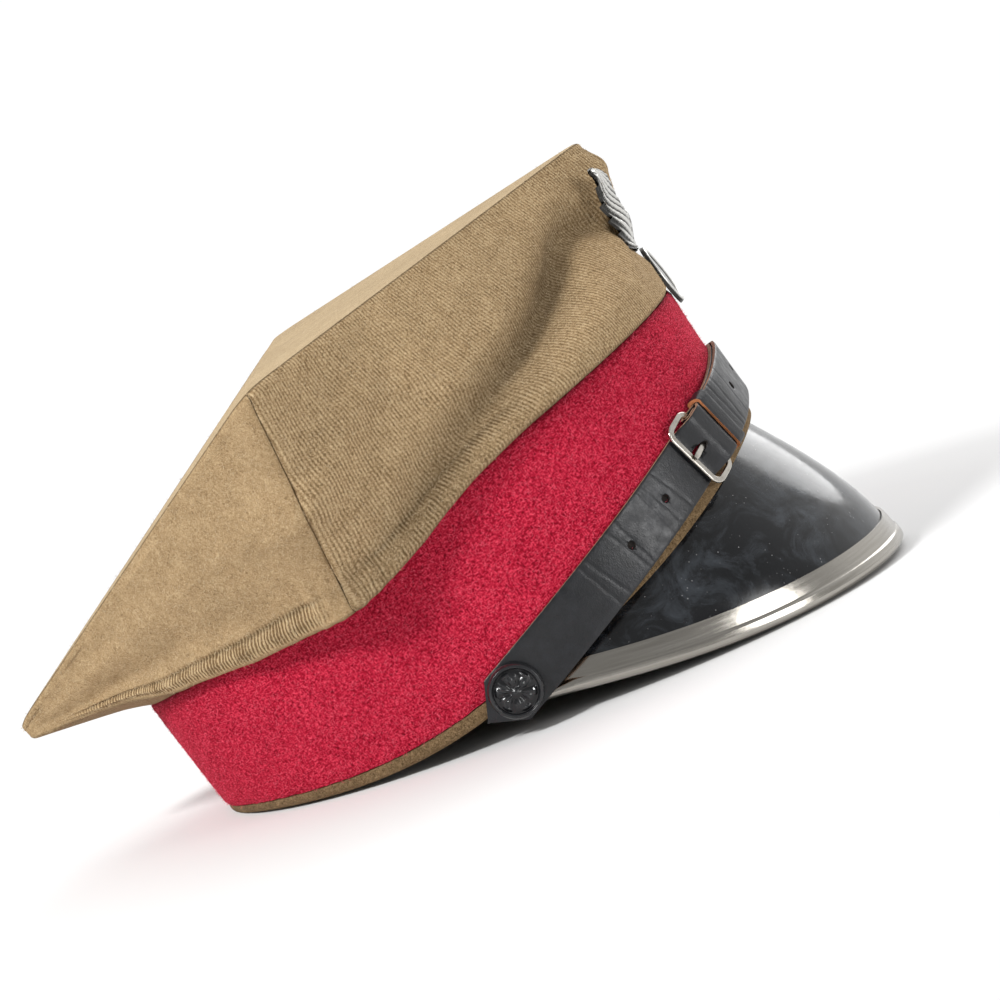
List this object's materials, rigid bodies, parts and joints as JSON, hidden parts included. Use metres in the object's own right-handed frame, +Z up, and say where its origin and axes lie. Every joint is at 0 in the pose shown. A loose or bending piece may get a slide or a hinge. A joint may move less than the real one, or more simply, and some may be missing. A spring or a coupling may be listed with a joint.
{
  "type": "four-cornered peaked cap",
  "caption": "Square-topped peaked cap: cloth crown with four pointed corners over a felt band, metal-rimmed lacquered peak, buckled leather chin strap on side buttons, winged front badge.",
  "frame": {"origin": "centre of the bounding box at floor level, the cap standing by itself on its rear rim and on the peak's edge", "axes": "+X towards the peak (forward), +Y to the wearer's left, +Z up"},
  "size_m": [0.289, 0.259, 0.1584],
  "materials": {
    "crown_cloth": "khaki brown wool twill, matt and slightly felted",
    "band_felt": "crimson felted wool, matt",
    "base_cloth": "khaki brown cloth, matt",
    "peak_lacquer": "black lacquer over fibre, glossy with fine scratches",
    "rim_metal": "nickel, polished and slightly tarnished",
    "strap_leather": "black leather, semi-gloss, creased, with tan raw edges",
    "buckle_metal": "nickel wire, worn",
    "button_black": "blackened metal, satin",
    "badge_metal": "silver-grey metal, dark in its recesses"
  },
  "bodies": {
    "root": {"crown_top": "crown_cloth", "crown_front_left": "crown_cloth", "crown_front_right": "crown_cloth", "crown_back_left": "crown_cloth", "crown_back_right": "crown_cloth", "red_band": "band_felt", "base_band": "base_cloth", "peak": "peak_lacquer", "peak_rim": "rim_metal", "strap_right": "strap_leather", "strap_left": "strap_leather", "strap_keeper": "strap_leather", "buckle_frame": "buckle_metal", "buckle_prong": "buckle_metal", "button_right": "button_black", "button_left": "button_black", "badge_wings": "badge_metal", "badge_plate": "badge_metal"}
  },
  "joints": []
}
